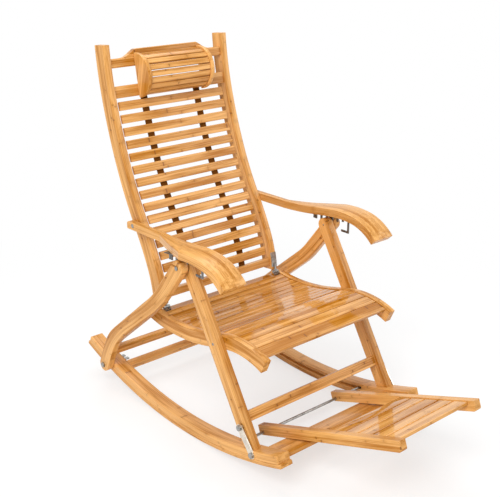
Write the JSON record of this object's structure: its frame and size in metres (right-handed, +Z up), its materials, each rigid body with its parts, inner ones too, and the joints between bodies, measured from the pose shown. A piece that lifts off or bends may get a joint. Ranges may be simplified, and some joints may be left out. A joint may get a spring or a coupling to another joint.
{
  "type": "folding rocking chair",
  "caption": "Folding bamboo rocking chair with a slatted reclining back, rolled headrest, drooping arms on notched brackets and a footrest that slides in the rockers.",
  "frame": {"origin": "on the floor, on the centre plane, where the rockers touch the floor at rest", "axes": "+Z up, -Y towards the front of the chair, +X to the sitter's left"},
  "size_m": [0.612, 1.1812, 1.024],
  "materials": {
    "bamboo": "satin clear lacquer",
    "steel": "zinc plated",
    "bracket_metal": "dark satin",
    "webbing": "woven strap"
  },
  "bodies": {
    "rocker_base": {"rocker_right": "bamboo", "rocker_left": "bamboo", "rocker_sole_right": "bamboo", "rocker_sole_left": "bamboo", "rocker_rear_stretcher": "bamboo", "rocker_front_board": "bamboo", "front_stay_right": "steel", "front_stay_left": "steel", "base_bolts": "steel", "wing_nuts": "steel"},
    "rear_legs": {"rear_leg_right": "bamboo", "rear_leg_left": "bamboo", "rear_leg_stretcher": "bamboo"},
    "front_legs": {"front_leg_right": "bamboo", "front_leg_left": "bamboo", "front_leg_stretcher": "bamboo", "arm_pins": "steel"},
    "seat": {"seat_rail_right": "bamboo", "seat_rail_left": "bamboo", "seat_front_slats": "bamboo", "seat_slats": "bamboo", "seat_rear_rail": "bamboo", "seat_bolts": "steel", "seat_hinge_leaves": "steel", "hinge_pins": "steel"},
    "back": {"back_stile_right": "bamboo", "back_stile_left": "bamboo", "back_slats": "bamboo", "back_strap_right": "webbing", "back_strap_left": "webbing", "back_bottom_rail": "bamboo", "back_head_rail": "bamboo", "back_crest_rail": "bamboo", "headrest_end_boards": "bamboo", "headrest_slats": "bamboo", "back_hinge_leaves": "steel", "arm_bolts": "steel"},
    "footrest_rod": {"footrest_rod": "steel"},
    "footrest": {"footrest_rail_right": "bamboo", "footrest_rail_left": "bamboo", "footrest_slats": "bamboo", "footrest_cross_bar": "bamboo"},
    "arm_right": {"arm_right": "bamboo", "arm_bracket_right": "bracket_metal"},
    "arm_left": {"arm_left": "bamboo", "arm_bracket_left": "bracket_metal"}
  },
  "joints": [
    {"name": "rear_leg_fold", "type": "hinge", "parent": "rocker_base", "child": "rear_legs", "pos_m": [0, 0.336, 0.06904], "axis": [1, 0, 0], "range_deg": [0, 40]},
    {"name": "front_leg_fold", "type": "hinge", "parent": "rocker_base", "child": "front_legs", "pos_m": [0, -0.28827, 0.12801], "axis": [1, 0, 0], "range_deg": [-53, 0.5]},
    {"name": "seat_fold", "type": "hinge", "parent": "front_legs", "child": "seat", "pos_m": [0, -0.17294, 0.32067], "axis": [1, 0, 0], "range_deg": [-0.5, 45]},
    {"name": "back_hinge", "type": "hinge", "parent": "seat", "child": "back", "pos_m": [0, 0.108, 0.316], "axis": [1, 0, 0], "range_deg": [-12, 84]},
    {"name": "arm_swing_right", "type": "hinge", "parent": "back", "child": "arm_right", "pos_m": [0, 0.218, 0.537], "axis": [1, 0, 0], "range_deg": [-63.5, 9.5]},
    {"name": "arm_swing_left", "type": "hinge", "parent": "back", "child": "arm_left", "pos_m": [0, 0.218, 0.537], "axis": [1, 0, 0], "range_deg": [-63.5, 9.5]},
    {"name": "footrest_slide", "type": "hinge", "parent": "rocker_base", "child": "footrest_rod", "pos_m": [0, 0, 1.272], "axis": [1, 0, 0], "range_deg": [0, 16]},
    {"name": "footrest_tilt", "type": "hinge", "parent": "footrest_rod", "child": "footrest", "pos_m": [0, -0.245, 0.046], "axis": [1, 0, 0], "range_deg": [-4.24, 0.5]}
  ],
  "couplings": [
    {"joint": "front_leg_fold", "follows": "rear_leg_fold", "ratio": -1.3125},
    {"joint": "seat_fold", "follows": "rear_leg_fold", "ratio": 1.1125},
    {"joint": "arm_swing_right", "follows": "back_hinge", "ratio": -0.75},
    {"joint": "arm_swing_left", "follows": "back_hinge", "ratio": -0.75},
    {"joint": "footrest_tilt", "follows": "footrest_slide", "ratio": -0.234}
  ]
}
